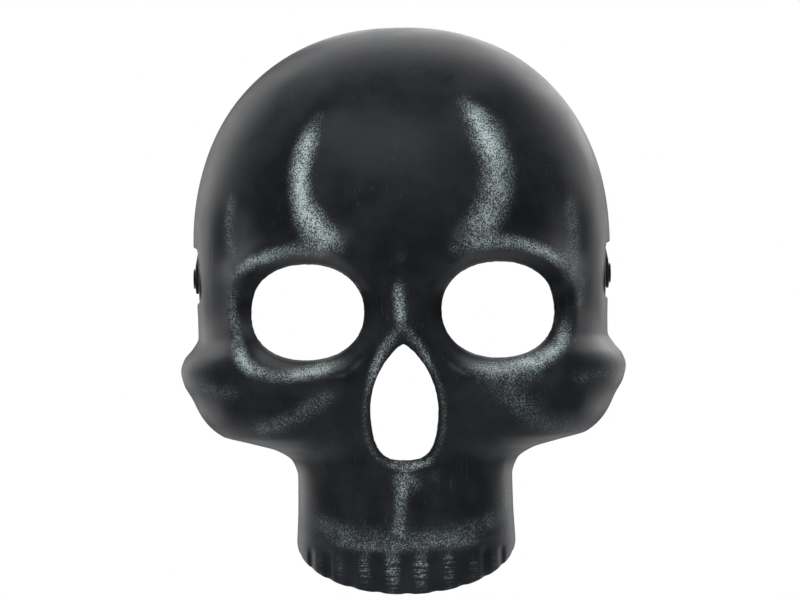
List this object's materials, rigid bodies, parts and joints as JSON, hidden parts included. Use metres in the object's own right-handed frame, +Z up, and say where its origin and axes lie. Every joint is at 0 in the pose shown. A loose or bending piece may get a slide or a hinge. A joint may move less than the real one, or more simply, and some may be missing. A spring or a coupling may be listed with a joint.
{
  "type": "skull face mask",
  "caption": "Moulded skull face mask with open eyes and nose, foam pads inside and an adjustable elastic head strap riveted at the temples.",
  "frame": {"origin": "midway between the wearer's eyes, on the plane where the forehead pad meets the wearer", "axes": "+Z up, +Y from the mask towards the wearer's head, +X to the right as seen from the front"},
  "size_m": [0.1734, 0.2082, 0.2196],
  "materials": {
    "shell": "satin black with silver dry-brushed ridges",
    "elastic": "woven black elastic",
    "rivet": "black enamelled",
    "washer": "plain zinc",
    "slider": "moulded black",
    "foam": "charcoal foam"
  },
  "bodies": {
    "shell": {"mask_shell": "shell", "forehead_pad": "foam", "left_cheek_pad": "foam", "right_cheek_pad": "foam", "left_rivet": "rivet", "right_rivet": "rivet", "left_washer": "washer", "right_washer": "washer"},
    "strap": {"left_strap": "elastic", "right_strap": "elastic"},
    "slider": {"strap_slider": "slider", "strap_tail": "elastic"}
  },
  "joints": [
    {"name": "strap_swing", "type": "hinge", "parent": "shell", "child": "strap", "pos_m": [0, 0.0641, 0.0137], "axis": [1, 0, 0], "range_deg": [-27, 18]},
    {"name": "slider_slide", "type": "slide", "parent": "strap", "child": "slider", "axis": [1, 0, 0], "range_m": [-0.01, 0.01], "deforming": ["left_strap", "right_strap"]}
  ]
}
